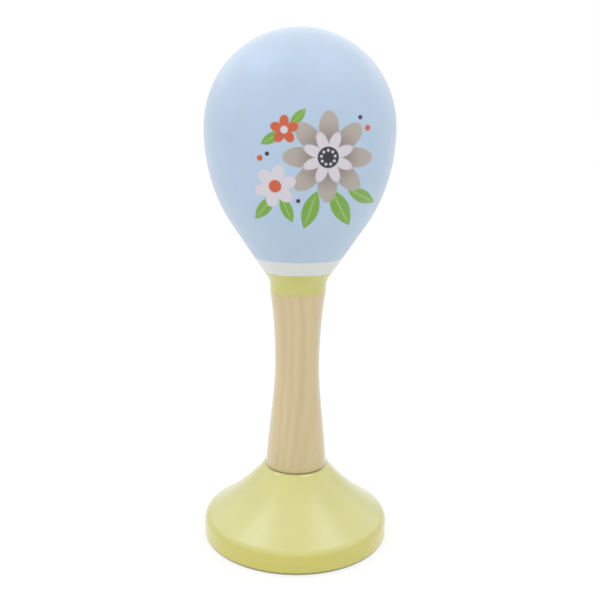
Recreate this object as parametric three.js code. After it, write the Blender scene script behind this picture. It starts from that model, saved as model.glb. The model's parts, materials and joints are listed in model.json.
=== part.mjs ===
// Wooden maraca: a hollow two-part head with loose beads inside, a white neck
// ring and a coved collar threaded on the handle's upper tenon, a waisted handle,
// and a flared round base that the shaker stands on.
// Millimetres, +Z up, origin at the centre of the base's underside.

import * as THREE from 'three';

// Base
const BASE_RADIUS = 29.65;
const BASE_HEIGHT = 24.0;
const BASE_RIM_HEIGHT = 5.3;
const BASE_EDGE_ROUND = 1.2;
const BASE_SHOULDER_ROUND = 3.1;
const BASE_COVE_RADIUS = 70.0;
const BASE_LEDGE = 0.35;
const BASE_LIP_ROUND = 0.6;

// Handle, with a tenon at each end
const GRIP_LENGTH = 57.2;
const GRIP_FOOT_RADIUS = 9.7;
const GRIP_FOOT_ROUND = 0.4;
const GRIP_FOOT_FLARE = 3.0;
const GRIP_WAIST_RADIUS = 7.05;
const GRIP_WAIST_RISE = 34.0;
const GRIP_TOP_RADIUS = 8.75;
const GRIP_TOP_FLARE = 8.4;
const TENON_RADIUS = 5.5;
const TENON_CHAMFER = 0.6;
const FOOT_TENON_LENGTH = 15.0;

// Neck: a short upright foot and a cove on the collar, then one straight taper, in degrees from upright
const COLLAR_HEIGHT = 6.3;
const COLLAR_FOOT_HEIGHT = 1.4;
const COLLAR_COVE_RADIUS = 6.0;
const NECK_RING_HEIGHT = 4.4;
const NECK_TAPER = 34.2;

// Head: bowl below the widest line, dome above it
const HEAD_RADIUS = 28.9;
const HEAD_WALL = 4.5;
const BOWL_HEIGHT = 38.6;
const BOWL_CONE_RISE = 9.6;
const DOME_HEIGHT = 29.5;
const DOME_FULLNESS = 0.555;
const SPIGOT_HEIGHT = 3.0;

// Loose beads: one in the middle of the bowl's foot, and rings of 6, 12 and so on round it
const BEAD_RADIUS = 3.0;
const BEAD_SPACING = 0.6;
const BEAD_RINGS = 2;
const BEADS_PER_RING_STEP = 6;

// Clearances
const GLUE_GAP = 0.3;
const BEAD_SEAT_GAP = 0.3;

// Smoothness of the turned surfaces
const TURNED_SIDES = 48;
const LONG_CURVE_STEPS = 10;
const SHORT_CURVE_STEPS = 4;
const EDGE_STEPS = 2;
const BEAD_DETAIL = 2;
const SAME_POINT = 1e-4;

// Heights of the joint planes, from the floor up
const seamZ = BASE_HEIGHT;
const waistZ = seamZ + GRIP_WAIST_RISE;
const collarZ = seamZ + GRIP_LENGTH;
const ringZ = collarZ + COLLAR_HEIGHT;
const bowlZ = ringZ + NECK_RING_HEIGHT;
const equatorZ = bowlZ + BOWL_HEIGHT;
const crownZ = equatorZ + DOME_HEIGHT;

// Radii that follow from the neck's taper; the cove is no larger than the collar has room for
const taper = THREE.MathUtils.degToRad(NECK_TAPER);
const collarCoveRoom = COLLAR_HEIGHT - COLLAR_FOOT_HEIGHT;
const collarCoveRadius = Math.min(COLLAR_COVE_RADIUS, collarCoveRoom / Math.sin(taper));
const collarTaperRise = collarCoveRoom - collarCoveRadius * Math.sin(taper);
const collarCoveTopRadius = GRIP_TOP_RADIUS + collarCoveRadius * (1 - Math.cos(taper));
const collarTopRadius = collarCoveTopRadius + collarTaperRise * Math.tan(taper);
const ringTopRadius = collarTopRadius + NECK_RING_HEIGHT * Math.tan(taper);

// Bores for the tenons, and the chamber with its rebated glue joint
const boreRadius = TENON_RADIUS + GLUE_GAP;
const chamberRadius = HEAD_RADIUS - HEAD_WALL;
const spigotRadius = chamberRadius + (HEAD_WALL - GLUE_GAP) / 2;
const rebateRadius = spigotRadius + GLUE_GAP;
const rebateZ = equatorZ + SPIGOT_HEIGHT + GLUE_GAP;
const boreMouthAngle = Math.asin(boreRadius / chamberRadius);
const boreMouthZ = equatorZ - chamberRadius * Math.cos(boreMouthAngle);

// Finishes
const BLUE_PAINT = { color: '#b3cbe4', roughness: 0.45, metalness: 0 };
const WHITE_PAINT = { color: '#e6e5e1', roughness: 0.45, metalness: 0 };
const LIME_LACQUER = { color: '#d2d07c', roughness: 0.25, metalness: 0 };
const PALE_WOOD = { color: '#dcc69a', roughness: 0.55, metalness: 0 };
const BEAD_WOOD = { color: '#c79a63', roughness: 0.5, metalness: 0 };

const point = (r, z) => new THREE.Vector2(r, z);

function arc(centre, radius, from, to, steps) {
  const clockwise = to < from;
  const curve = new THREE.EllipseCurve(centre.x, centre.y, radius, radius, from, to, clockwise);
  return curve.getPoints(steps);
}

function cubic(start, startHandle, endHandle, end, steps) {
  return new THREE.CubicBezierCurve(start, startHandle, endHandle, end).getPoints(steps);
}

// An outline in (radius, height), running up the outside of the piece.
function outline(...stretches) {
  const points = stretches.flat();
  return points.filter((p, i) => i === 0 || p.distanceTo(points[i - 1]) > SAME_POINT);
}

function named(name, geometry, finish) {
  const mesh = new THREE.Mesh(geometry, new THREE.MeshStandardMaterial(finish));
  mesh.name = name;
  return mesh;
}

// Turns an outline about the Z axis.
function turned(name, profile, finish) {
  const geometry = new THREE.LatheGeometry(profile, TURNED_SIDES);
  geometry.rotateX(Math.PI / 2);
  return named(name, geometry, finish);
}

// Centre of the cove's arc, which is tangent to the rounds of the shoulder and the lip.
function coveCentre(shoulderCentre, lipCentre) {
  const span = lipCentre.clone().sub(shoulderCentre);
  const length = span.length();
  const shoulderReach = BASE_COVE_RADIUS + BASE_SHOULDER_ROUND;
  const lipReach = BASE_COVE_RADIUS + BASE_LIP_ROUND;
  const along = (shoulderReach ** 2 - lipReach ** 2 + length ** 2) / (2 * length);
  const across = Math.sqrt(shoulderReach ** 2 - along ** 2);
  const direction = span.divideScalar(length);
  const outward = point(direction.y, -direction.x);
  return shoulderCentre.clone().addScaledVector(direction, along).addScaledVector(outward, across);
}

// Flared foot with a rolled rim, a long cove, a rounded lip, a narrow ledge round the grip
// and a blind socket for the handle.
function base() {
  const edgeCentre = point(BASE_RADIUS - BASE_EDGE_ROUND, BASE_EDGE_ROUND);
  const shoulderCentre = point(BASE_RADIUS - BASE_SHOULDER_ROUND, BASE_RIM_HEIGHT);
  const lipCentre = point(GRIP_FOOT_RADIUS + BASE_LEDGE, seamZ - BASE_LIP_ROUND);
  const centre = coveCentre(shoulderCentre, lipCentre);
  const shoulderTurn = centre.clone().sub(shoulderCentre).angle();
  const lipTurn = centre.clone().sub(lipCentre).angle();
  const socketFloorZ = seamZ - FOOT_TENON_LENGTH - GLUE_GAP;
  return turned('base', outline(
    point(0, 0),
    arc(edgeCentre, BASE_EDGE_ROUND, -Math.PI / 2, 0, EDGE_STEPS),
    arc(shoulderCentre, BASE_SHOULDER_ROUND, 0, shoulderTurn, SHORT_CURVE_STEPS),
    arc(centre, BASE_COVE_RADIUS, Math.PI + shoulderTurn, Math.PI + lipTurn, LONG_CURVE_STEPS),
    arc(lipCentre, BASE_LIP_ROUND, lipTurn, Math.PI / 2, EDGE_STEPS),
    point(boreRadius, seamZ),
    point(boreRadius, socketFloorZ),
    point(0, socketFloorZ),
  ), LIME_LACQUER);
}

// Waisted grip: one curve from the foot in to the waist and one out to the collar.
function handle() {
  const footTenonZ = seamZ - FOOT_TENON_LENGTH;
  const footCentre = point(GRIP_FOOT_RADIUS - GRIP_FOOT_ROUND, seamZ + GRIP_FOOT_ROUND);
  const gripFoot = point(GRIP_FOOT_RADIUS, seamZ + GRIP_FOOT_ROUND);
  const waist = point(GRIP_WAIST_RADIUS, waistZ);
  const gripTop = point(GRIP_TOP_RADIUS, collarZ);
  const lowPull = (waist.y - gripFoot.y) / 3;
  const highPull = (gripTop.y - waist.y) / 3;
  const footLean = lowPull * Math.tan(THREE.MathUtils.degToRad(GRIP_FOOT_FLARE));
  const topLean = highPull * Math.tan(THREE.MathUtils.degToRad(GRIP_TOP_FLARE));
  return turned('handle', outline(
    point(0, footTenonZ),
    point(TENON_RADIUS - TENON_CHAMFER, footTenonZ),
    point(TENON_RADIUS, footTenonZ + TENON_CHAMFER),
    point(TENON_RADIUS, seamZ),
    arc(footCentre, GRIP_FOOT_ROUND, -Math.PI / 2, 0, EDGE_STEPS),
    cubic(
      gripFoot,
      point(gripFoot.x - footLean, gripFoot.y + lowPull),
      point(waist.x, waist.y - lowPull),
      waist,
      LONG_CURVE_STEPS,
    ),
    cubic(
      waist,
      point(waist.x, waist.y + highPull),
      point(gripTop.x - topLean, gripTop.y - highPull),
      gripTop,
      LONG_CURVE_STEPS,
    ),
    point(TENON_RADIUS, collarZ),
    point(TENON_RADIUS, boreMouthZ - TENON_CHAMFER),
    point(TENON_RADIUS - TENON_CHAMFER, boreMouthZ),
    point(0, boreMouthZ),
  ), PALE_WOOD);
}

// Coved collar, upright where it meets the handle and on the neck's taper at the top.
function collar() {
  const coveMiddle = point(GRIP_TOP_RADIUS + collarCoveRadius, collarZ + COLLAR_FOOT_HEIGHT);
  return turned('collar', outline(
    point(boreRadius, collarZ),
    point(GRIP_TOP_RADIUS, collarZ),
    arc(coveMiddle, collarCoveRadius, Math.PI, Math.PI - taper, SHORT_CURVE_STEPS),
    point(collarTopRadius, ringZ),
    point(boreRadius, ringZ),
    point(boreRadius, collarZ),
  ), LIME_LACQUER);
}

// Plain tapered ring between the collar and the head.
function neckRing() {
  return turned('neck_ring', outline(
    point(boreRadius, ringZ),
    point(collarTopRadius, ringZ),
    point(ringTopRadius, bowlZ),
    point(boreRadius, bowlZ),
    point(boreRadius, ringZ),
  ), WHITE_PAINT);
}

// Lower half of the head: a cone that swells to the widest line, round hollow inside,
// bored for the tenon, with a spigot on its rim that centres the dome.
function headBowl() {
  const coneTop = point(ringTopRadius + BOWL_CONE_RISE * Math.tan(taper), bowlZ + BOWL_CONE_RISE);
  const corner = point(HEAD_RADIUS, bowlZ + (HEAD_RADIUS - ringTopRadius) / Math.tan(taper));
  const rim = point(HEAD_RADIUS, equatorZ);
  const spigotTopZ = equatorZ + SPIGOT_HEIGHT;
  const belly = new THREE.QuadraticBezierCurve(coneTop, corner, rim);
  const bowlFoot = -Math.PI / 2 + boreMouthAngle;
  return turned('head_bowl', outline(
    point(boreRadius, bowlZ),
    point(ringTopRadius, bowlZ),
    belly.getPoints(LONG_CURVE_STEPS),
    point(spigotRadius, equatorZ),
    point(spigotRadius, spigotTopZ),
    point(chamberRadius, spigotTopZ),
    arc(point(0, equatorZ), chamberRadius, 0, bowlFoot, LONG_CURVE_STEPS),
    point(boreRadius, bowlZ),
  ), BLUE_PAINT);
}

// Upper half of the head: a shell rebated at its rim to sit over the bowl's spigot.
function headDome() {
  const ceilingRise = crownZ - HEAD_WALL - rebateZ;
  const ceiling = new THREE.EllipseCurve(
    0, rebateZ, chamberRadius, ceilingRise, Math.PI / 2, 0, true,
  );
  return turned('head_dome', outline(
    ceiling.getPoints(LONG_CURVE_STEPS),
    point(rebateRadius, rebateZ),
    point(rebateRadius, equatorZ),
    cubic(
      point(HEAD_RADIUS, equatorZ),
      point(HEAD_RADIUS, equatorZ + DOME_HEIGHT * DOME_FULLNESS),
      point(HEAD_RADIUS * DOME_FULLNESS, crownZ),
      point(0, crownZ),
      LONG_CURVE_STEPS,
    ),
  ), BLUE_PAINT);
}

// Loose beads: one on the tenon's end, then rings that lie on the round of the bowl.
function beads() {
  const pitch = 2 * BEAD_RADIUS + BEAD_SPACING;
  const seatRadius = chamberRadius - BEAD_RADIUS - BEAD_SEAT_GAP;
  const group = new THREE.Group();
  for (let ring = 0; ring <= BEAD_RINGS; ring += 1) {
    const ringRadius = ring * pitch;
    const count = Math.max(1, ring * BEADS_PER_RING_STEP);
    const roundZ = equatorZ - Math.sqrt(seatRadius ** 2 - ringRadius ** 2);
    const z = ring === 0 ? boreMouthZ + BEAD_RADIUS + BEAD_SEAT_GAP : roundZ;
    for (let i = 0; i < count; i += 1) {
      const angle = (i / count) * 2 * Math.PI;
      const number = String(group.children.length + 1).padStart(2, '0');
      const bead = named(
        `rattle_bead_${number}`, new THREE.IcosahedronGeometry(BEAD_RADIUS, BEAD_DETAIL), BEAD_WOOD,
      );
      bead.position.set(ringRadius * Math.cos(angle), ringRadius * Math.sin(angle), z);
      group.add(bead);
    }
  }
  return group;
}

const maraca = new THREE.Group();
maraca.add(base(), handle(), collar(), neckRing(), headBowl(), headDome(), beads());

export default maraca;
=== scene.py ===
"""Looks of the wooden maraca: smooth turned pieces of painted, lacquered and clear-coated wood."""

import json
import math
import random

import bpy
from mathutils import Matrix, Vector


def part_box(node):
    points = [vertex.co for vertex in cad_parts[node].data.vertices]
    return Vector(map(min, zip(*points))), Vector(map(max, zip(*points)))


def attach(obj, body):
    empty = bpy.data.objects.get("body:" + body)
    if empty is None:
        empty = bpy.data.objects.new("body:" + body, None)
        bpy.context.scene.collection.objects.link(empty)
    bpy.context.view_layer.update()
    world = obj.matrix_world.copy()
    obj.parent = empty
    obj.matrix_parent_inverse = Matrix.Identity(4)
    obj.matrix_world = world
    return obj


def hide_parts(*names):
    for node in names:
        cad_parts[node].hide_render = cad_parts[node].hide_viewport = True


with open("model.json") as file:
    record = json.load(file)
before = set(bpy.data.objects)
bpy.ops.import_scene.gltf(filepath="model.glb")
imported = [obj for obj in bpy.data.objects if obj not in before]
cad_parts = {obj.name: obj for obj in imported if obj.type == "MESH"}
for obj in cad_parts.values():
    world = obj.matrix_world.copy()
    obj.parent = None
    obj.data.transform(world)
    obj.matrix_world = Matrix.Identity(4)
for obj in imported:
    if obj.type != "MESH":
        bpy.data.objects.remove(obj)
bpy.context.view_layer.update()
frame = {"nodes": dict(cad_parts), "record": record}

MM = 0.001

# Joint planes and radii of the turned pieces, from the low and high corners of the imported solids
base_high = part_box("base")[1]
handle_low, handle_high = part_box("handle")
collar_low, collar_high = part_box("collar")
ring_low, ring_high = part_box("neck_ring")
bowl_low, bowl_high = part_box("head_bowl")
dome_low, dome_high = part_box("head_dome")
base_radius = base_high.x
seam_z = base_high.z
grip_foot_radius = handle_high.x
tenon_foot_z = handle_low.z
tenon_top_z = handle_high.z
collar_top_radius = collar_high.x
collar_z = collar_low.z
ring_top_radius = ring_high.x
ring_z = ring_low.z
bowl_z = bowl_low.z
spigot_top_z = bowl_high.z
head_radius = dome_high.x
equator_z = dome_low.z
crown_z = dome_high.z

# Shape of the outlines between those planes
RIM_HEIGHT = 5.3 * MM
EDGE_ROUND = 1.2 * MM
SHOULDER_ROUND = 3.1 * MM
COVE_RADIUS = 70.0 * MM
LEDGE = 0.35 * MM
LIP_ROUND = 0.6 * MM
GRIP_FOOT_ROUND = 0.15 * MM
GRIP_FOOT_FLARE = math.radians(3.0)
GRIP_WAIST_RADIUS = 7.05 * MM
GRIP_WAIST_RISE = 34.0 * MM
GRIP_TOP_RADIUS = 8.75 * MM
GRIP_TOP_FLARE = math.radians(8.4)
TENON_RADIUS = 5.5 * MM
TENON_CHAMFER = 0.6 * MM
GLUE_GAP = 0.3 * MM
COLLAR_FOOT_HEIGHT = 1.4 * MM
COLLAR_COVE_RADIUS = 6.0 * MM
NECK_TAPER = math.radians(34.2)
CONE_RISE = 9.6 * MM
DOME_FULLNESS = 0.555
HEAD_WALL = 4.5 * MM
BEAD_RADIUS = 3.0 * MM
BEAD_FLAT_RADIUS = 0.5 * MM

# Sizes of the joints inside
bore_radius = TENON_RADIUS + GLUE_GAP
chamber_radius = head_radius - HEAD_WALL
spigot_radius = chamber_radius + (HEAD_WALL - GLUE_GAP) / 2
rebate_radius = spigot_radius + GLUE_GAP
rebate_z = spigot_top_z + GLUE_GAP

# Smoothness of the turned meshes
SIDES = 160
BEAD_SIDES = 40
LONG_STEPS = 48
SHORT_STEPS = 10
SAME_POINT = 1e-7
SHARP_ANGLE = math.radians(38)

# Material indices on a piece
FINISH = 0
BARE = 1

# Seed for the way the beads lie
BEAD_SEED = 7

# Paint, print and wood colours, as sRGB
BLUE = (0.705, 0.787, 0.876)
WHITE = (0.860, 0.872, 0.864)
LIME = (0.792, 0.778, 0.436)
# Painted shade: deeper lime for the rim, whose side faces away from the overhead light
LIME_RIM_SHADE = (0.806, 0.780, 0.372)
# Painted highlight: pale lime for glints on the lip
LIME_GLINT = (0.930, 0.890, 0.680)
# Olive of the painted shade in the seam's crease and along the bottom edge
SEAM_SHADE = (0.430, 0.385, 0.165)
TAUPE = (0.690, 0.655, 0.625)
TAUPE_DEEP = (0.560, 0.520, 0.490)
LAVENDER = (0.835, 0.815, 0.850)
NAVY = (0.130, 0.130, 0.185)
GREEN = (0.455, 0.650, 0.250)
GREEN_PALE = (0.640, 0.770, 0.420)
CORAL = (0.790, 0.355, 0.205)
BEECH_LIGHT = (0.835, 0.759, 0.583)
BEECH_DARK = (0.785, 0.698, 0.508)
# Painted lime reflection and painted shade on the wood at its joints
BEECH_BOUNCE_SHADE = (0.790, 0.725, 0.450)
RAW_LIGHT = (0.860, 0.760, 0.600)
RAW_DARK = (0.780, 0.660, 0.480)
BEAD_LIGHT = (0.780, 0.610, 0.410)
BEAD_DARK = (0.660, 0.480, 0.290)
PORE = (0.640, 0.520, 0.360)

# Paint: mottling, patches of more and less gloss, grain that shows through, orange peel
MOTTLE_CELL = 11.0 * MM
MOTTLE_SPAN = (0.35, 0.65)
MOTTLE_DARK = 0.98
MOTTLE_LIGHT = 1.015
GLOSS_CELL = 3.5 * MM
GLOSS_SPREAD = 0.03
GRAIN_CELL = (0.5 * MM, 14.0 * MM)
GRAIN_STRENGTH = 0.04
GRAIN_DEPTH = 0.05 * MM
PEEL_CELL = 0.9 * MM
PEEL_STRENGTH = 0.05
PEEL_DEPTH = 0.03 * MM
SHEEN_ROUGHNESS = 0.45
SATIN = {"roughness": 0.42, "coat": 0.04, "coat_roughness": 0.30, "sheen": 0.32}
GLOSSY = {"roughness": 0.36, "coat": 1.0, "coat_roughness": 0.27, "sheen": 0.0}

# Wood: growth rings round a pith off to one side, and streaks, fibres and pores along the grain
PITH_TO_AXIS = (41.0 * MM, -27.0 * MM, 0.0)
TRUNK_SCALE = (1.0, 1.0, 0.04)
RING_WANDER_SCALE = (26.0, 26.0, 9.0)
RING_WANDER = 9.0 * MM
HALF_A_RING = 0.5
LATE_WOOD_SPAN = (0.05, 0.5)
STREAK_CELL = (2.6 * MM, 60.0 * MM)
STREAK_TONE = 0.6
FIBRE_CELL = (0.28 * MM, 16.0 * MM)
FIBRE_TONE = 0.35
FIBRE_GLOSS_SPREAD = 0.05
FIBRE_RELIEF = 0.5
TONE_SPAN = (0.2, 0.9)
PORE_CELL = (0.34 * MM, 3.2 * MM)
PORE_SPAN = (0.66, 0.76)
PORE_COVER = 0.22
WOOD_STRENGTH = 0.10
WOOD_DEPTH = 0.06 * MM
WOOD_COAT_ROUGHNESS = 0.25

# Painted shade in the crease at the seam. It fades in height from the seam, outward from the grip and,
# in radii of the grip, from the front to the back.
SEAM_FOOT_SPAN = (-0.60 * MM, -0.30 * MM)
SEAM_TOP_SPAN = (0.10 * MM, 0.20 * MM)
SEAM_OUT_SPAN = (0.55 * MM, 0.95 * MM)
SEAM_BACK_SPAN = (-0.80, -0.40)
SEAM_COVER_FRONT = 0.75
SEAM_COVER_BACK = 0.20

# Painted shade along the bottom edge of the base, where the floor shades it, by height
EDGE_SHADE_SPAN = (0.75 * MM, 1.35 * MM)
EDGE_SHADE_COVER = 0.85

# Painted highlights on short stretches of the lip, where its round catches the lamps. They fade inward
# and outward from its edge, and each has its degrees round from the front and its reach.
GLINT_INNER_SPAN = (-0.20 * MM, 0.0)
GLINT_OUTER_SPAN = (0.05 * MM, 0.30 * MM)
GLINT_COVER = 0.65
GLINT_RAGGED_CELL = 0.6 * MM
GLINT_RAGGED_DEPTH = 1.2 * MM
GLINT_CORE_SHARE = 0.4
GLINT_SPOTS = [(-33, 2.4 * MM), (19, 2.9 * MM), (84, 2.0 * MM), (141, 2.6 * MM), (-112, 2.2 * MM)]

# Painted lime reflection on the wood above the seam, and painted shade on the wood below the collar
SEAM_BOUNCE_RISE = 3.5 * MM
SEAM_BOUNCE_COVER = 0.55
COLLAR_SHADE_DROP = 1.8 * MM
COLLAR_SHADE_COVER = 0.6

# Print on the front of the head: its centre in X and Z, and its shapes in millimetres from there
PRINT_CENTRE = (3.0 * MM, 118.5 * MM)
PRINT_SOFTNESS = 0.22
LARGE_FLOWER = (4.8, 4.6)
LARGE_EYE_RADIUS = 2.9
SMALL_FLOWER = (-9.6, -3.4)
SMALL_EYE_RADIUS = 1.75
TINY_FLOWER = (-7.2, 11.8)
TINY_EYE_RADIUS = 1.0
TAUPE_SPAN = (4.0, 10.5)
CORAL_DOTS = [(15.6, 12.6), (-13.8, 4.2)]
CORAL_DOT_RADIUS = 0.8
NAVY_DOTS = [(13.4, 15.4), (-11.8, 5.4), (-3.2, -7.4)]
NAVY_DOT_RADIUS = 0.6

# Rings of petals: how many, the angle of the first, the radius at their middles, and a petal's half
# length and half width
LARGE_PETALS = {"count": 8, "start": 0.0, "reach": 7.5, "size": (4.9, 2.75)}
LARGE_INNER_PETALS = {"count": 8, "start": math.pi / 8, "reach": 4.2, "size": (3.0, 1.45)}
LARGE_STAMENS = {"count": 9, "start": 0.2, "reach": 1.9, "size": (0.36, 0.36)}
SMALL_PETALS = {"count": 6, "start": 0.3, "reach": 3.4, "size": (2.5, 1.75)}
TINY_PETALS = {"count": 5, "start": math.pi / 2, "reach": 2.2, "size": (1.7, 1.3)}

# Leaves: centre, half length and half width, degrees from +X
LEAVES = [
    ((8.6, -9.4), (6.2, 2.5), -62),
    ((0.2, -10.0), (5.8, 2.3), -108),
    ((14.6, -6.2), (4.8, 1.9), -28),
    ((-12.6, -9.6), (4.4, 1.8), -128),
    ((-6.4, -9.8), (4.2, 1.6), -66),
    ((-10.6, 9.6), (3.4, 1.4), 210),
    ((-3.6, 15.0), (3.2, 1.3), 48),
]
MIDRIB_SHARE = 0.09
MIDRIB_TAPER = 0.2
MIDRIB_TAPER_POWER = 4.0
MIDRIB_COVER = 0.8

# Floor and surroundings: how bright they look, and how much light they give
FLOOR_HALF = 3.0
FLOOR_GLOW = 0.77
FLOOR_SEEN = (0.28, 0.28, 0.28)
FLOOR_BOUNCE = (0.94, 0.94, 0.94)
WORLD_HORIZON = 1.08
WORLD_ZENITH = 0.90
WORLD_SIDEWAYS = -0.09
WHITE_STRENGTH = 1.0

# Soft lights for the gloss: shape, place, width and height in metres, watts, colour
SOFTBOX_TARGET = Vector((0.0, 0.0, 0.08))
PURE_WHITE = (1.0, 1.0, 1.0)
COOL_WHITE = (0.62, 0.64, 1.0)
SOFTBOXES = {
    "softbox_left": ("RECTANGLE", (-0.47, 0.03, 0.85), (0.50, 0.26), 1.1, COOL_WHITE),
    "softbox_right": ("RECTANGLE", (0.43, -0.05, 0.85), (0.42, 0.24), 0.8, COOL_WHITE),
    "softbox_overhead": ("ELLIPSE", (0.0, 0.0, 1.2), (1.1, 1.1), 4.3, PURE_WHITE),
    "ceiling_glow": ("ELLIPSE", (0.0, 0.0, 1.2), (6.4, 6.4), 86.0, PURE_WHITE),
}

# Camera, fitted to the photograph's frame
PHOTO_SIZE = 600
FOCAL_PIXELS = 812.0
SENSOR_WIDTH = 36.0
CAMERA_CLIP = 10.0 * MM
CAMERA_DISTANCE = 250.0 * MM
CAMERA_SIDE = 0.65 * MM
CAMERA_HEIGHT = 129.35 * MM
CAMERA_PITCH = math.radians(11.59)
CAMERA_ROLL = math.radians(0.75)


def placed(name, data):
    """A new object in the scene."""
    made = bpy.data.objects.new(name, data)
    bpy.context.scene.collection.objects.link(made)
    return made


# Outlines and turned meshes

def ellipse(centre, half_width, half_height, start, end, steps):
    """Points on an upright elliptic arc in (radius, height)."""
    turns = [start + (end - start) * i / steps for i in range(steps + 1)]
    return [(centre[0] + half_width * math.cos(t), centre[1] + half_height * math.sin(t)) for t in turns]


def arc(centre, radius, start, end, steps):
    """Points on a circular arc in (radius, height)."""
    return ellipse(centre, radius, radius, start, end, steps)


def bezier(handles, steps):
    """Points on a Bezier curve, or on a straight line if there are two handles."""
    points = []
    for i in range(steps + 1):
        level = [Vector(handle) for handle in handles]
        while len(level) > 1:
            level = [a.lerp(b, i / steps) for a, b in zip(level, level[1:])]
        points.append(tuple(level[0]))
    return points


def same(a, b):
    """Whether two points of an outline coincide."""
    return (Vector(a) - Vector(b)).length < SAME_POINT


def joined(stretches):
    """One outline from stretches of (points, material index), and the index of each step along it."""
    outline = []
    slots = []
    for points, slot in stretches:
        for point in points:
            if outline and same(point, outline[-1]):
                continue
            if outline:
                slots.append(slot)
            outline.append(point)
    return outline, slots


def ring(radius, height, sides):
    """Points round the turning axis, or the one point on it."""
    if radius < SAME_POINT:
        return [(0.0, 0.0, height)]
    turns = [2 * math.pi * k / sides for k in range(sides)]
    return [(radius * math.cos(t), radius * math.sin(t), height) for t in turns]


def turned(name, stretches, materials, sides=SIDES):
    """Turns an outline about Z into one closed mesh.

    The outline runs up the outside of the piece. It starts and ends on the axis, or closes on itself.
    """
    outline, slots = joined(stretches)
    if same(outline[0], outline[-1]):
        outline.pop()
    verts = []
    rings = []
    for radius, height in outline:
        points = ring(radius, height, sides)
        rings.append([len(verts) + k % len(points) for k in range(sides)])
        verts.extend(points)
    faces = []
    face_slots = []
    for low, high, slot in zip(rings, rings[1:] + rings[:1], slots):
        for k in range(sides):
            after = (k + 1) % sides
            corners = [low[k], low[after], high[after], high[k]]
            faces.append(list(dict.fromkeys(corners)))
            face_slots.append(slot)
    mesh = bpy.data.meshes.new(name)
    mesh.from_pydata(verts, [], faces)
    for material in materials:
        mesh.materials.append(material)
    mesh.polygons.foreach_set("material_index", face_slots)
    mesh.polygons.foreach_set("use_smooth", [True] * len(faces))
    mesh.set_sharp_from_angle(angle=SHARP_ANGLE)
    mesh.update()
    return placed(name, mesh)


def dress(piece, node):
    """The piece stands for one CAD node and rides on that node's body."""
    bodies = frame["record"]["behaviour"]["bodies"]
    body = next(name for name, members in bodies.items() if node in members)
    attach(piece, body)
    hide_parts(node)


# Material graphs

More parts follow.
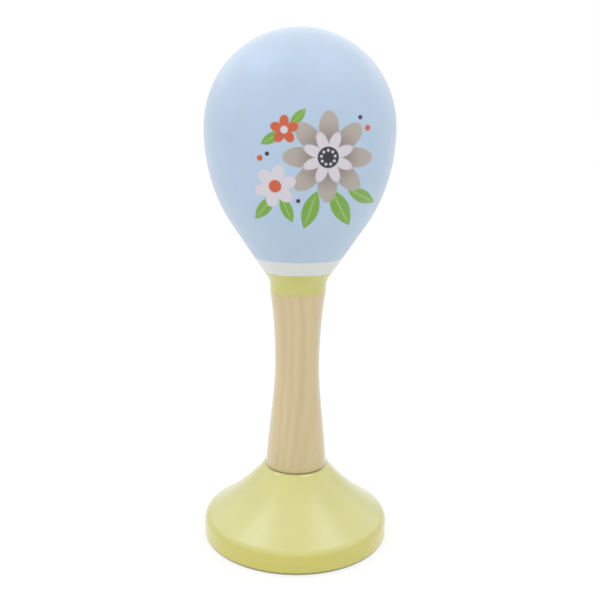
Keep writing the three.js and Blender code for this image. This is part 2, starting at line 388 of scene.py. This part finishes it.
class Graph:
    """Shorthand for building the node tree of a material or of the world."""

    # Most of the range that noise takes
    NOISE_SPAN = (0.3, 0.7)

    # Sockets of a Mix node that mixes colours
    MIX_FACTOR = 0
    MIX_COLOURS = (6, 7)
    MIX_RESULT = 2

    def __init__(self, owner, coordinates="Object"):
        owner.use_nodes = True
        self.owner = owner
        self.tree = owner.node_tree
        self.tree.nodes.clear()
        self.place = self.add("ShaderNodeTexCoord").outputs[coordinates]

    def add(self, kind, inputs=None, **settings):
        """A new node. Its inputs map socket names or numbers to values or to other sockets."""
        made = self.tree.nodes.new(kind)
        for key, value in settings.items():
            setattr(made, key, value)
        for key, value in (inputs or {}).items():
            self.feed(made.inputs[key], value)
        return made

    def feed(self, socket, value):
        if isinstance(value, bpy.types.NodeSocket):
            self.tree.links.new(value, socket)
        elif socket.type == "RGBA" and len(value) == 3:
            socket.default_value = (*value, 1.0)
        else:
            socket.default_value = value

    def math(self, operation, a, b=0.0, c=0.0):
        return self.add("ShaderNodeMath", {0: a, 1: b, 2: c}, operation=operation).outputs[0]

    def chain(self, operation, first, *others):
        """One operation carried through any number of values."""
        for other in others:
            first = self.math(operation, first, other)
        return first

    def ramp(self, value, low, high, to_low=0.0, to_high=1.0):
        """Smooth step from to_low at low to to_high at high."""
        inputs = {"Value": value, "From Min": low, "From Max": high, "To Min": to_low, "To Max": to_high}
        return self.add("ShaderNodeMapRange", inputs, interpolation_type="SMOOTHSTEP").outputs["Result"]

    def uneven(self, noise, middle, spread):
        """Noise brought to a value that varies about its middle."""
        return self.ramp(noise, *self.NOISE_SPAN, middle - spread, middle + spread)

    def mix(self, factor, a, b):
        """Colour a, or b where the factor is 1."""
        first, second = self.MIX_COLOURS
        inputs = {self.MIX_FACTOR: factor, first: a, second: b}
        return self.add("ShaderNodeMix", inputs, data_type="RGBA").outputs[self.MIX_RESULT]

    def axes(self, vector):
        """The X, Y and Z of a vector."""
        return self.add("ShaderNodeSeparateXYZ", {"Vector": vector}).outputs

    def length(self, vector):
        return self.add("ShaderNodeVectorMath", {0: vector}, operation="LENGTH").outputs["Value"]

    def distance(self, point):
        """Distance from a point in the object's coordinates."""
        inputs = {0: self.place, 1: point}
        return self.add("ShaderNodeVectorMath", inputs, operation="DISTANCE").outputs["Value"]

    def mapped(self, scale, shift=(0.0, 0.0, 0.0)):
        """The object's coordinates, in metres, times a scale on each axis, and then shifted."""
        inputs = {"Vector": self.place, "Scale": scale, "Location": shift}
        return self.add("ShaderNodeMapping", inputs).outputs["Vector"]

    def axis_distance(self):
        """Distance from the turning axis."""
        return self.length(self.mapped((1.0, 1.0, 0.0)))

    def noise(self, scale, detail=2.0, roughness=0.5):
        """Noise with its own scale on each axis, in cells a metre."""
        inputs = {"Vector": self.mapped(scale), "Scale": 1.0, "Detail": detail, "Roughness": roughness}
        return self.add("ShaderNodeTexNoise", inputs).outputs["Fac"]

    def bump(self, height, strength, depth, under=None):
        """Normals of a relief, laid over another relief's normals if there is one."""
        inputs = {"Height": height, "Strength": strength, "Distance": depth}
        if under is not None:
            inputs["Normal"] = under
        return self.add("ShaderNodeBump", inputs).outputs["Normal"]

    def seen(self):
        """1 for what the camera sees, also in a reflection or through glass, and 0 for what gives light."""
        path = self.add("ShaderNodeLightPath").outputs
        rays = [path["Is Camera Ray"], path["Is Glossy Ray"], path["Is Transmission Ray"]]
        return self.chain("MAXIMUM", *rays)

    def finish(self, **inputs):
        """A Principled surface with these sockets set or linked, written with _ for spaces."""
        names = {key.replace("_", " "): value for key, value in inputs.items()}
        surface = self.add("ShaderNodeBsdfPrincipled", names)
        self.add("ShaderNodeOutputMaterial", {"Surface": surface.outputs[0]})
        return self.owner


def linear(colour):
    """sRGB to the linear values that shader sockets hold."""
    return tuple(c / 12.92 if c <= 0.04045 else ((c + 0.055) / 1.055) ** 2.4 for c in colour)


def shade(colour, factor):
    return tuple(c * factor for c in linear(colour))


def cells(size):
    """Noise scale, in cells a metre, for cells of one size."""
    return (1 / size,) * 3


def upright_cells(width, height):
    """Noise scale, in cells a metre, for cells drawn out along the turning axis."""
    return (1 / width, 1 / width, 1 / height)


# Print

class Print:
    """Flat shapes printed on the front of the head, in millimetres from the print's centre."""

    def __init__(self, graph, colour):
        self.g = graph
        self.colour = colour
        to_centre = (-PRINT_CENTRE[0] / MM, 0.0, -PRINT_CENTRE[1] / MM)
        self.flat = graph.mapped((1 / MM, 0.0, 1 / MM), to_centre)
        self.front = graph.math("LESS_THAN", graph.axes(graph.place)["Y"], 0.0)

    def local(self, centre, size=(1.0, 1.0), turn=0.0):
        """Coordinates of a shape that lies at centre, turned, with size as its unit lengths."""
        return self.g.add("ShaderNodeMapping", {
            "Vector": self.flat, "Location": (centre[0], 0.0, centre[1]),
            "Rotation": (0.0, -turn, 0.0), "Scale": (size[0], 1.0, size[1]),
        }, vector_type="TEXTURE").outputs["Vector"]

    def fill(self, distance, edge, softness, colour, cover=1.0):
        """Lays a colour over all that is nearer than edge."""
        inked = self.g.ramp(distance, edge - softness, edge + softness, cover, 0.0)
        self.colour = self.g.mix(self.g.math("MULTIPLY", inked, self.front), self.colour, colour)

    def disc(self, centre, radius, colour):
        self.fill(self.g.length(self.local(centre)), radius, PRINT_SOFTNESS, linear(colour))

    def leaf(self, centre, size, turn):
        """A pointed leaf along turn, measured from +X, with a paler midrib."""
        g = self.g
        softness = PRINT_SOFTNESS / size[1]
        axes = g.axes(self.local(centre, size, turn))
        across = g.math("ABSOLUTE", axes["Z"])
        swell = g.math("MULTIPLY_ADD", axes["X"], axes["X"], across)
        self.fill(swell, 1.0, softness, linear(GREEN))
        tip = g.math("POWER", axes["X"], MIDRIB_TAPER_POWER)
        rib = g.math("MULTIPLY_ADD", tip, MIDRIB_TAPER, across)
        self.fill(rib, MIDRIB_SHARE, softness, linear(GREEN_PALE), MIDRIB_COVER)

    def petals(self, centre, colour, count, start, reach, size):
        """A ring of elliptic petals, with a colour that is a function of the radius."""
        g = self.g
        half_length, half_width = size
        place = self.local(centre)
        axes = g.axes(place)
        radius = g.length(place)
        sector = 2 * math.pi / count
        turn = g.math("SUBTRACT", g.math("ARCTAN2", axes["Z"], axes["X"]), start)
        steps = g.math("DIVIDE", turn, sector)
        folded = g.math("MULTIPLY", g.math("SUBTRACT", steps, g.math("ROUND", steps)), sector)
        along = g.math("MULTIPLY", radius, g.math("COSINE", folded))
        across = g.math("MULTIPLY", radius, g.math("SINE", folded))
        petal = g.add("ShaderNodeCombineXYZ", {
            "X": g.math("DIVIDE", g.math("SUBTRACT", along, reach), half_length),
            "Y": g.math("DIVIDE", across, half_width),
        }).outputs["Vector"]
        self.fill(g.length(petal), 1.0, PRINT_SOFTNESS / half_width, colour(radius))


def flower_print(g, colour):
    """A loose cluster of flowers and leaves on the front of the head."""
    ink = Print(g, colour)

    def taupe(radius):
        return g.mix(g.ramp(radius, *TAUPE_SPAN), linear(TAUPE_DEEP), linear(TAUPE))

    def lavender(radius):
        return linear(LAVENDER)

    def coral(radius):
        return linear(CORAL)

    for centre, size, degrees in LEAVES:
        ink.leaf(centre, size, math.radians(degrees))
    ink.petals(LARGE_FLOWER, taupe, **LARGE_PETALS)
    ink.petals(LARGE_FLOWER, lavender, **LARGE_INNER_PETALS)
    ink.disc(LARGE_FLOWER, LARGE_EYE_RADIUS, NAVY)
    ink.petals(LARGE_FLOWER, lavender, **LARGE_STAMENS)
    ink.petals(SMALL_FLOWER, lavender, **SMALL_PETALS)
    ink.disc(SMALL_FLOWER, SMALL_EYE_RADIUS, CORAL)
    ink.petals(TINY_FLOWER, coral, **TINY_PETALS)
    ink.disc(TINY_FLOWER, TINY_EYE_RADIUS, LAVENDER)
    for centre in CORAL_DOTS:
        ink.disc(centre, CORAL_DOT_RADIUS, CORAL)
    for centre in NAVY_DOTS:
        ink.disc(centre, NAVY_DOT_RADIUS, NAVY)
    return ink.colour


# Painted shade, highlights and reflections

def no_layers(g, colour):
    return colour


def crease_shade(g, colour):
    """Painted shade in the crease where the handle's foot meets the ledge of the base, stronger at the
    front.
    """
    axes = g.axes(g.place)
    rise = g.math("SUBTRACT", axes["Z"], seam_z)
    outward = g.math("SUBTRACT", g.axis_distance(), grip_foot_radius)
    depth = g.math("DIVIDE", axes["Y"], grip_foot_radius)
    above_foot = g.ramp(rise, *SEAM_FOOT_SPAN)
    below_top = g.ramp(rise, *SEAM_TOP_SPAN, 1.0, 0.0)
    inside = g.ramp(outward, *SEAM_OUT_SPAN, 1.0, 0.0)
    cover = g.ramp(depth, *SEAM_BACK_SPAN, SEAM_COVER_FRONT, SEAM_COVER_BACK)
    crease = g.chain("MULTIPLY", above_foot, below_top, inside, cover)
    return g.mix(crease, colour, linear(SEAM_SHADE))


def lip_glints(g, colour):
    """Painted highlights on short stretches of the base's lip, where its round catches the lamps."""
    lip_radius = grip_foot_radius + LEDGE + LIP_ROUND
    outward = g.math("SUBTRACT", g.axis_distance(), lip_radius)
    inner = g.ramp(outward, *GLINT_INNER_SPAN)
    outer = g.ramp(outward, *GLINT_OUTER_SPAN, GLINT_COVER, 0.0)
    ragged = g.math("MULTIPLY", g.noise(cells(GLINT_RAGGED_CELL)), GLINT_RAGGED_DEPTH)
    stretches = []
    for degrees, reach in GLINT_SPOTS:
        turn = math.radians(degrees)
        middle = (lip_radius * math.sin(turn), -lip_radius * math.cos(turn), seam_z - LIP_ROUND)
        away = g.math("ADD", g.distance(middle), ragged)
        stretches.append(g.ramp(away, GLINT_CORE_SHARE * reach, reach, 1.0, 0.0))
    glinting = g.chain("MAXIMUM", *stretches)
    return g.mix(g.chain("MULTIPLY", inner, outer, glinting), colour, linear(LIME_GLINT))


def lacquer_layers(g, colour):
    """Lacquer with painted shade on the rim, along the bottom edge and in the seam, and painted highlights
    on the lip.
    """
    height = g.axes(g.place)["Z"]
    # Painted shade: the rim of the base deeper than the flare
    rim_shade = g.ramp(height, RIM_HEIGHT, RIM_HEIGHT + SHOULDER_ROUND, 1.0, 0.0)
    colour = g.mix(rim_shade, colour, linear(LIME_RIM_SHADE))
    # Painted shade along the bottom edge
    edge_shade = g.ramp(height, *EDGE_SHADE_SPAN, EDGE_SHADE_COVER, 0.0)
    colour = g.mix(edge_shade, colour, linear(SEAM_SHADE))
    # Painted highlights on the lip, then painted shade in the seam's crease
    return crease_shade(g, lip_glints(g, colour))


def joint_bounce_and_shade(g, colour):
    """Painted lime reflection on the wood a little way above the seam, and painted shade a little way below
    the collar.
    """
    height = g.axes(g.place)["Z"]
    # Painted lime reflection above the seam, painted shade below the collar
    seam_bounce = g.ramp(height, seam_z, seam_z + SEAM_BOUNCE_RISE, SEAM_BOUNCE_COVER, 0.0)
    collar_shade = g.ramp(height, collar_z - COLLAR_SHADE_DROP, collar_z, 0.0, COLLAR_SHADE_COVER)
    return g.mix(g.math("MAXIMUM", seam_bounce, collar_shade), colour, linear(BEECH_BOUNCE_SHADE))


# Finishes

def painted(name, colour, layers, roughness, coat, coat_roughness, sheen):
    """Opaque paint over turned wood: slight mottling, faint orange peel, a trace of the grain below."""
    g = Graph(bpy.data.materials.new(name))
    mottle = g.ramp(g.noise(cells(MOTTLE_CELL), detail=3.0), *MOTTLE_SPAN)
    paint = g.mix(mottle, shade(colour, MOTTLE_DARK), shade(colour, MOTTLE_LIGHT))
    fibres = g.noise(upright_cells(*GRAIN_CELL), detail=3.0)
    grain = g.bump(fibres, GRAIN_STRENGTH, GRAIN_DEPTH)
    return g.finish(
        Base_Color=layers(g, paint),
        Roughness=g.uneven(g.noise(cells(GLOSS_CELL)), roughness, GLOSS_SPREAD),
        Normal=g.bump(g.noise(cells(PEEL_CELL)), PEEL_STRENGTH, PEEL_DEPTH, grain),
        Coat_Weight=coat,
        Coat_Roughness=coat_roughness,
        Sheen_Weight=sheen,
        Sheen_Roughness=SHEEN_ROUGHNESS,
    )


def grained(name, light, dark, layers, roughness, coat, sheen, ring_width, ring_tone):
    """Straight-grained hardwood: soft growth rings, fine fibres and short dark pores."""
    g = Graph(bpy.data.materials.new(name))
    wander = g.math("MULTIPLY", g.noise(RING_WANDER_SCALE), RING_WANDER)
    reach = g.math("ADD", g.length(g.mapped(TRUNK_SCALE, PITH_TO_AXIS)), wander)
    years = g.math("DIVIDE", reach, ring_width)
    late_wood = g.ramp(g.math("PINGPONG", years, HALF_A_RING), *LATE_WOOD_SPAN)
    streaks = g.noise(upright_cells(*STREAK_CELL))
    fibres = g.noise(upright_cells(*FIBRE_CELL), detail=4.0, roughness=0.6)
    tone = g.chain(
        "ADD",
        g.math("MULTIPLY", late_wood, ring_tone),
        g.math("MULTIPLY", streaks, STREAK_TONE),
        g.math("MULTIPLY", fibres, FIBRE_TONE),
    )
    wood = g.mix(g.ramp(tone, *TONE_SPAN), linear(light), linear(dark))
    pores = g.ramp(g.noise(upright_cells(*PORE_CELL), detail=1.0), *PORE_SPAN)
    wood = g.mix(g.math("MULTIPLY", pores, PORE_COVER), wood, linear(PORE))
    relief = g.math("SUBTRACT", g.math("MULTIPLY", fibres, FIBRE_RELIEF), pores)
    return g.finish(
        Base_Color=layers(g, wood),
        Roughness=g.uneven(fibres, roughness, FIBRE_GLOSS_SPREAD),
        Normal=g.bump(relief, WOOD_STRENGTH, WOOD_DEPTH),
        Coat_Weight=coat,
        Coat_Roughness=WOOD_COAT_ROUGHNESS,
        Sheen_Weight=sheen,
        Sheen_Roughness=SHEEN_ROUGHNESS,
    )


blue_paint = painted("blue_paint", BLUE, flower_print, **SATIN)
white_paint = painted("white_paint", WHITE, no_layers, **SATIN)
lime_lacquer = painted("lime_lacquer", LIME, lacquer_layers, **GLOSSY)
pale_wood = grained(
    "pale_wood", BEECH_LIGHT, BEECH_DARK, joint_bounce_and_shade,
    roughness=0.50, coat=1.0, sheen=0.30, ring_width=2.6 * MM, ring_tone=0.16,
)
raw_wood = grained(
    "raw_wood", RAW_LIGHT, RAW_DARK, no_layers,
    roughness=0.70, coat=0.0, sheen=0.0, ring_width=2.6 * MM, ring_tone=0.3,
)
bead_wood = grained(
    "bead_wood", BEAD_LIGHT, BEAD_DARK, no_layers,
    roughness=0.55, coat=0.05, sheen=0.0, ring_width=1.1 * MM, ring_tone=0.4,
)


# Pieces

def cove_centre(shoulder, lip):
    """Centre of the cove's arc, which is tangent to the rounds of the shoulder and the lip."""
    span = Vector(lip) - Vector(shoulder)
    shoulder_reach = COVE_RADIUS + SHOULDER_ROUND
    lip_reach = COVE_RADIUS + LIP_ROUND
    along = (shoulder_reach ** 2 - lip_reach ** 2 + span.length_squared) / (2 * span.length)
    across = math.sqrt(shoulder_reach ** 2 - along ** 2)
    direction = span.normalized()
    outward = Vector((direction.y, -direction.x))
    return Vector(shoulder) + direction * along + outward * across


def make_base():
    """Flared foot: rolled rim, long cove, rounded lip, ledge round the grip, blind socket."""
    edge = (base_radius - EDGE_ROUND, EDGE_ROUND)
    shoulder = (base_radius - SHOULDER_ROUND, RIM_HEIGHT)
    lip = (grip_foot_radius + LEDGE, seam_z - LIP_ROUND)
    centre = cove_centre(shoulder, lip)
    shoulder_turn = math.atan2(centre.y - shoulder[1], centre.x - shoulder[0])
    lip_turn = math.atan2(centre.y - lip[1], centre.x - lip[0])
    ledge_inside = grip_foot_radius - GRIP_FOOT_ROUND
    socket_floor = tenon_foot_z - GLUE_GAP
    return turned("base_lacquered", [
        ([(0.0, 0.0)] + arc(edge, EDGE_ROUND, -math.pi / 2, 0.0, SHORT_STEPS), FINISH),
        (arc(shoulder, SHOULDER_ROUND, 0.0, shoulder_turn, SHORT_STEPS), FINISH),
        (arc(centre, COVE_RADIUS, math.pi + shoulder_turn, math.pi + lip_turn, LONG_STEPS), FINISH),
        (arc(lip, LIP_ROUND, lip_turn, math.pi / 2, SHORT_STEPS), FINISH),
        ([(ledge_inside, seam_z)], FINISH),
        ([(bore_radius, seam_z), (bore_radius, socket_floor), (0.0, socket_floor)], BARE),
    ], [lime_lacquer, raw_wood])


def make_handle():
    """Waisted grip between two tenons."""
    foot_centre = (grip_foot_radius - GRIP_FOOT_ROUND, seam_z + GRIP_FOOT_ROUND)
    foot = Vector((grip_foot_radius, seam_z + GRIP_FOOT_ROUND))
    waist = Vector((GRIP_WAIST_RADIUS, seam_z + GRIP_WAIST_RISE))
    top = Vector((GRIP_TOP_RADIUS, collar_z))
    low_pull = Vector((0.0, (waist.y - foot.y) / 3))
    high_pull = Vector((0.0, (top.y - waist.y) / 3))
    foot_lean = Vector((low_pull.y * math.tan(GRIP_FOOT_FLARE), 0.0))
    top_lean = Vector((high_pull.y * math.tan(GRIP_TOP_FLARE), 0.0))
    tenon_end = TENON_RADIUS - TENON_CHAMFER
    return turned("handle_wood", [
        ([(0.0, tenon_foot_z), (tenon_end, tenon_foot_z)], BARE),
        ([(TENON_RADIUS, tenon_foot_z + TENON_CHAMFER), (TENON_RADIUS, seam_z)], BARE),
        (arc(foot_centre, GRIP_FOOT_ROUND, -math.pi / 2, 0.0, SHORT_STEPS), FINISH),
        (bezier([foot, foot - foot_lean + low_pull, waist - low_pull, waist], LONG_STEPS), FINISH),
        (bezier([waist, waist + high_pull, top - top_lean - high_pull, top], LONG_STEPS), FINISH),
        ([(TENON_RADIUS, collar_z), (TENON_RADIUS, tenon_top_z - TENON_CHAMFER)], BARE),
        ([(tenon_end, tenon_top_z), (0.0, tenon_top_z)], BARE),
    ], [pale_wood, raw_wood])


def make_collar():
    """Collar on the tenon: upright foot, cove, and the start of the neck's taper."""
    centre = (GRIP_TOP_RADIUS + COLLAR_COVE_RADIUS, collar_z + COLLAR_FOOT_HEIGHT)
    return turned("collar_lacquered", [
        ([(bore_radius, collar_z), (GRIP_TOP_RADIUS, collar_z)], BARE),
        (arc(centre, COLLAR_COVE_RADIUS, math.pi, math.pi - NECK_TAPER, LONG_STEPS), FINISH),
        ([(collar_top_radius, ring_z)], FINISH),
        ([(bore_radius, ring_z), (bore_radius, collar_z)], BARE),
    ], [lime_lacquer, raw_wood])


def make_neck_ring():
    """Plain white tapered ring."""
    return turned("neck_ring_painted", [
        ([(bore_radius, ring_z)], BARE),
        (bezier([(collar_top_radius, ring_z), (ring_top_radius, bowl_z)], SHORT_STEPS), FINISH),
        ([(bore_radius, bowl_z), (bore_radius, ring_z)], BARE),
    ], [white_paint, raw_wood])


def make_head_bowl():
    """Lower half of the head, with a round hollow, a bore and a spigot."""
    cone_top = (ring_top_radius + CONE_RISE * math.tan(NECK_TAPER), bowl_z + CONE_RISE)
    corner = (head_radius, bowl_z + (head_radius - ring_top_radius) / math.tan(NECK_TAPER))
    bore_mouth_turn = -math.pi / 2 + math.asin(bore_radius / chamber_radius)
    return turned("head_bowl_painted", [
        ([(bore_radius, bowl_z), (ring_top_radius, bowl_z)], BARE),
        (bezier([(ring_top_radius, bowl_z), cone_top], SHORT_STEPS), FINISH),
        (bezier([cone_top, corner, (head_radius, equator_z)], LONG_STEPS), FINISH),
        ([(spigot_radius, equator_z), (spigot_radius, spigot_top_z), (chamber_radius, spigot_top_z)], BARE),
        (arc((0.0, equator_z), chamber_radius, 0.0, bore_mouth_turn, LONG_STEPS), BARE),
        ([(bore_radius, bowl_z)], BARE),
    ], [blue_paint, raw_wood])


def make_head_dome():
    """Upper half of the head, rebated over the spigot."""
    rise = crown_z - equator_z
    ceiling_rise = crown_z - HEAD_WALL - rebate_z
    outside = [
        (head_radius, equator_z), (head_radius, equator_z + rise * DOME_FULLNESS),
        (head_radius * DOME_FULLNESS, crown_z), (0.0, crown_z),
    ]
    return turned("head_dome_painted", [
        (ellipse((0.0, rebate_z), chamber_radius, ceiling_rise, math.pi / 2, 0.0, LONG_STEPS), BARE),
        ([(rebate_radius, rebate_z), (rebate_radius, equator_z), (head_radius, equator_z)], BARE),
        (bezier(outside, LONG_STEPS), FINISH),
    ], [blue_paint, raw_wood])


def make_bead(node, chance):
    """Tumbled bead with a small flat at each end of its turning axis, lying at its own tilt."""
    low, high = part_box(node)
    flat_turn = math.acos(BEAD_FLAT_RADIUS / BEAD_RADIUS)
    side = arc((0.0, 0.0), BEAD_RADIUS, -flat_turn, flat_turn, BEAD_SIDES)
    outline = [(0.0, side[0][1])] + side + [(0.0, side[-1][1])]
    bead = turned(f"{node}_wood", [(outline, FINISH)], [bead_wood], BEAD_SIDES)
    turn = chance.uniform(0, math.pi)
    axis = Vector((chance.gauss(0, 1), chance.gauss(0, 1), 1))
    bead.data.transform(Matrix.Translation((low + high) / 2) @ Matrix.Rotation(turn, 4, axis))
    return bead


dress(make_base(), "base")
dress(make_handle(), "handle")
dress(make_collar(), "collar")
dress(make_neck_ring(), "neck_ring")
dress(make_head_bowl(), "head_bowl")
dress(make_head_dome(), "head_dome")
bead_chance = random.Random(BEAD_SEED)
for bead_node in sorted(n for n in frame["nodes"] if n.startswith("rattle_bead")):
    dress(make_bead(bead_node, bead_chance), bead_node)


# Stage, light and camera

def make_floor():
    """Pale floor: white to the camera apart from the object's shadow, plain pale grey to the light."""
    corners = [(-1, -1), (1, -1), (1, 1), (-1, 1)]
    mesh = bpy.data.meshes.new("floor")
    mesh.from_pydata([(FLOOR_HALF * x, FLOOR_HALF * y, 0.0) for x, y in corners], [], [(0, 1, 2, 3)])
    g = Graph(bpy.data.materials.new("floor_white"))
    plain = g.add("ShaderNodeBsdfDiffuse", {"Color": FLOOR_BOUNCE})
    shadowed = g.add("ShaderNodeBsdfDiffuse", {"Color": FLOOR_SEEN})
    glow = g.add("ShaderNodeEmission", {"Color": PURE_WHITE, "Strength": FLOOR_GLOW})
    white = g.add("ShaderNodeAddShader", {0: shadowed.outputs[0], 1: glow.outputs[0]})
    both = g.add("ShaderNodeMixShader", {0: g.seen(), 1: plain.outputs[0], 2: white.outputs[0]})
    g.add("ShaderNodeOutputMaterial", {"Surface": both.outputs[0]})
    mesh.materials.append(g.owner)
    floor = placed("floor", mesh)


def make_world():
    """Even light, a little stronger near the horizon and from the left, and white to the camera."""
    world = bpy.data.worlds.new("white_room")
    bpy.context.scene.world = world
    g = Graph(world, "Generated")
    axes = g.axes(g.place)
    strength = g.ramp(axes["Z"], 0.0, 1.0, WORLD_HORIZON, WORLD_ZENITH)
    strength = g.math("MULTIPLY_ADD", axes["X"], WORLD_SIDEWAYS, strength)
    light = g.add("ShaderNodeBackground", {"Color": PURE_WHITE, "Strength": strength})
    white = g.add("ShaderNodeBackground", {"Color": PURE_WHITE, "Strength": WHITE_STRENGTH})
    both = g.add("ShaderNodeMixShader", {0: g.seen(), 1: light.outputs[0], 2: white.outputs[0]})
    g.add("ShaderNodeOutputWorld", {"Surface": both.outputs[0]})


def make_softbox(name, shape, place, size, watts, colour):
    """A soft light aimed at the object, for its gloss: the even light comes from the world."""
    lamp = bpy.data.lights.new(name, "AREA")
    lamp.shape = shape
    lamp.size, lamp.size_y = size
    lamp.energy = watts
    lamp.color = colour
    light = placed(name, lamp)
    light.location = place
    light.rotation_euler = (SOFTBOX_TARGET - Vector(place)).to_track_quat("-Z", "Y").to_euler()
    light.visible_diffuse = False
    light.visible_camera = False


def make_camera():
    """The photograph's view: level with the head, looking a little down, with a slight roll."""
    data = bpy.data.cameras.new("camera")
    data.sensor_width = SENSOR_WIDTH
    data.lens = FOCAL_PIXELS / PHOTO_SIZE * SENSOR_WIDTH
    data.clip_start = CAMERA_CLIP
    camera = placed("camera", data)
    stand = Matrix.Translation((CAMERA_SIDE, -CAMERA_DISTANCE, CAMERA_HEIGHT))
    aim = Matrix.Rotation(math.pi / 2 - CAMERA_PITCH, 4, "X")
    camera.matrix_world = stand @ aim @ Matrix.Rotation(CAMERA_ROLL, 4, "Z")
    bpy.context.scene.camera = camera


make_floor()
make_world()
for softbox_name, softbox in SOFTBOXES.items():
    make_softbox(softbox_name, *softbox)
make_camera()
bpy.context.scene.view_settings.view_transform = "Standard"
